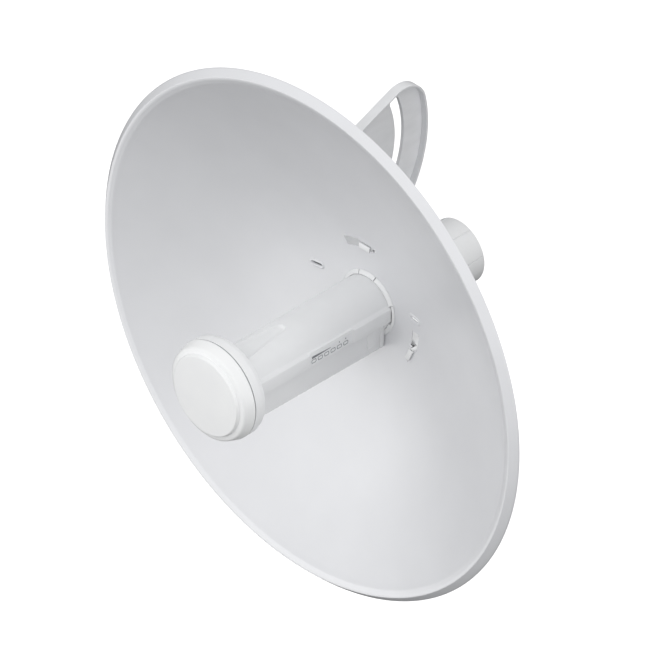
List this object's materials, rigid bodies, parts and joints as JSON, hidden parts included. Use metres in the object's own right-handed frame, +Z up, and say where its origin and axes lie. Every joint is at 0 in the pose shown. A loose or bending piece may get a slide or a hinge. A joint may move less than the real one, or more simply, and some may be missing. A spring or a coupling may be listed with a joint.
{
  "type": "outdoor wireless bridge",
  "caption": "Dish antenna bridge: round parabolic reflector with a plug-in radio feed on its axis, a rear housing with a slotted elevation plate, and a toothed clamp for a vertical pole.",
  "frame": {"origin": "on the axis of the vertical pole that the clamp holds, at the middle of the clamp's height", "axes": "+Z up along the pole; the dish looks along -Y; +X to the right of someone standing in front of the dish"},
  "size_m": [0.42, 0.2845, 0.42],
  "materials": {
    "painted_steel": "satin white powder coat",
    "white_plastic": "moulded, fine satin texture",
    "grey_plastic": "moulded, fine satin texture",
    "clear_plastic": "moulded, polished",
    "zinc_steel": "zinc plated",
    "tinned_steel": "tin plated",
    "aluminium": "turned",
    "board_laminate": "solder mask over glass laminate",
    "rubber": "moulded, matt"
  },
  "bodies": {
    "pole_mount": {"pole_bracket": "zinc_steel", "pivot_bolt": "zinc_steel", "pivot_washer": "zinc_steel", "pivot_nut": "zinc_steel", "lock_bolt": "zinc_steel", "lock_washer": "zinc_steel", "lock_nut": "zinc_steel", "clamp_bolt_left": "zinc_steel", "clamp_bolt_right": "zinc_steel"},
    "clamp": {"clamp_jaw": "zinc_steel", "clamp_washer_left": "zinc_steel", "clamp_washer_right": "zinc_steel", "clamp_nut_left": "zinc_steel", "clamp_nut_right": "zinc_steel"},
    "bracket": {"rear_housing": "white_plastic", "mouth_collar": "white_plastic", "elevation_plate": "white_plastic", "plate_screw_1": "zinc_steel", "plate_screw_2": "zinc_steel", "plate_screw_3": "zinc_steel", "plate_screw_4": "zinc_steel"},
    "latch": {"feed_latch": "grey_plastic"},
    "reflector": {"reflector_dish": "painted_steel"},
    "feed": {"radome_cap": "white_plastic", "cap_ring": "white_plastic", "cap_seal": "rubber", "subreflector": "aluminium", "feed_horn": "aluminium", "feed_tube": "white_plastic", "led_window": "clear_plastic", "light_guide": "clear_plastic", "tail_gland": "rubber", "circuit_board": "board_laminate", "rf_shield": "tinned_steel", "network_jack": "tinned_steel", "reset_switch": "grey_plastic", "board_screw_front": "zinc_steel", "board_screw_rear": "zinc_steel"},
    "cover": {"port_cover": "white_plastic"},
    "reset": {"reset_button": "rubber"}
  },
  "joints": [
    {"name": "elevation", "type": "hinge", "parent": "pole_mount", "child": "bracket", "pos_m": [0.043, -0.062, 0.1045], "axis": [-1, 0, 0], "range_deg": [-15, 45]},
    {"name": "dish_twist", "type": "hinge", "parent": "bracket", "child": "reflector", "pos_m": [0.1, -0.066, 0.024], "axis": [0, 1, 0], "range_deg": [0, 17]},
    {"name": "feed_slide", "type": "slide", "parent": "bracket", "child": "feed", "axis": [0, -1, 0], "range_m": [0, 0.1]},
    {"name": "cover_drop", "type": "slide", "parent": "feed", "child": "cover", "axis": [0, 0, -1], "range_m": [0, 0.022]},
    {"name": "reset_press", "type": "slide", "parent": "feed", "child": "reset", "axis": [0, 0, 1], "range_m": [0, 0.0008], "stiffness_N_per_m": 400, "springref_m": -0.0006},
    {"name": "latch_press", "type": "slide", "parent": "bracket", "child": "latch", "axis": [-0.8746, 0, 0.4848], "range_m": [0, 0.0014], "stiffness_N_per_m": 800, "springref_m": -0.0008},
    {"name": "clamp_close", "type": "slide", "parent": "pole_mount", "child": "clamp", "axis": [0, 1, 0], "range_m": [-0.0115, 0.01]}
  ]
}
